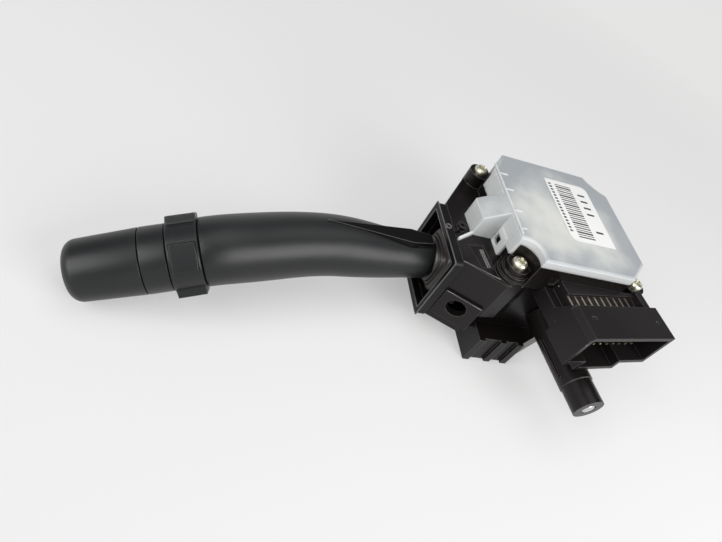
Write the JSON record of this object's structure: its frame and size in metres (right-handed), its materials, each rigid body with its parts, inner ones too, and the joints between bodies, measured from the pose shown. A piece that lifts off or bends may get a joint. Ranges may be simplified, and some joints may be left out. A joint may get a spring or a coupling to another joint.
{
  "type": "combination stalk switch",
  "caption": "Steering column stalk switch: curved stalk with turning end knob and selector ring, moulded body with translucent rear cover, guide post and wiring connector.",
  "frame": {"origin": "foot of the stalk's sweep axis on the seat plane under the slide base", "axes": "+X from the stalk towards the column side, +Z along the sweep axis and the normal of the rear cover, +Y away from the connector mouth"},
  "size_m": [0.2088, 0.0973, 0.0568],
  "materials": {
    "main_housing": "satin",
    "lower_case": "satin",
    "slide_base": "satin",
    "nose_bezel": "gloss",
    "rear_cover": "translucent matt",
    "cover_screws": "yellow zinc",
    "connector_housing": "satin",
    "terminal_metal": "tin plated",
    "contact_board": "board",
    "inner_plastic": "satin",
    "slider_plastic": "satin",
    "steel": "ground",
    "core_plastic": "satin",
    "shield": "grained",
    "lever_collar": "gloss",
    "stalk_plastic": "fine matt",
    "lever_fin": "gloss"
  },
  "bodies": {
    "case": {"main_housing": "main_housing", "lower_case": "lower_case", "slide_base": "slide_base", "nose_bezel": "nose_bezel", "rear_cover": "rear_cover", "cover_screws": "cover_screws", "connector_housing": "connector_housing", "upper_terminals": "terminal_metal", "lower_terminals": "terminal_metal", "contact_board": "contact_board", "slider_guide": "inner_plastic", "pivot_bridge": "inner_plastic", "detent_plate": "inner_plastic", "post_insert": "steel"},
    "carrier": {"swing_carrier": "slider_plastic", "cross_pin": "steel"},
    "stalk": {"lever_core": "core_plastic", "dust_shield": "shield", "lever_collar": "lever_collar", "lever_arm": "stalk_plastic", "lever_fin": "lever_fin", "spacer_band": "stalk_plastic", "head_contact_board": "contact_board", "detent_spring": "steel"},
    "plunger": {"detent_plunger": "steel"},
    "slider": {"sweep_slider": "slider_plastic"},
    "ring": {"selector_ring": "stalk_plastic"},
    "knob": {"end_knob": "stalk_plastic", "knob_spindle": "core_plastic", "knob_wiper": "terminal_metal"}
  },
  "joints": [
    {"name": "stalk_sweep", "type": "hinge", "parent": "case", "child": "carrier", "pos_m": [0, 0, 0.0254], "axis": [0, 0, 1], "range_deg": [-7, 7]},
    {"name": "stalk_pull", "type": "hinge", "parent": "carrier", "child": "stalk", "pos_m": [0, 0, 0.0254], "axis": [0, 1, 0], "range_deg": [-5, 6], "stiffness_Nm_per_rad": 3},
    {"name": "plunger_slide", "type": "slide", "parent": "stalk", "child": "plunger", "axis": [1, 0, 0], "range_m": [-0.0012, 0], "stiffness_N_per_m": 1000},
    {"name": "sweep_slider_slide", "type": "slide", "parent": "case", "child": "slider", "axis": [0, 1, 0], "range_m": [-0.0018, 0.0018]},
    {"name": "ring_turn", "type": "hinge", "parent": "stalk", "child": "ring", "pos_m": [-0.13335, -0.0155, 0.0158], "axis": [-0.9308, -0.1201, -0.3453], "range_deg": [-20, 20]},
    {"name": "knob_turn", "type": "hinge", "parent": "stalk", "child": "knob", "pos_m": [-0.13335, -0.0155, 0.0158], "axis": [-0.9308, -0.1201, -0.3453], "range_deg": [0, 60]}
  ],
  "couplings": [
    {"joint": "sweep_slider_slide", "follows": "stalk_sweep", "m_per_rad": 0.014}
  ]
}
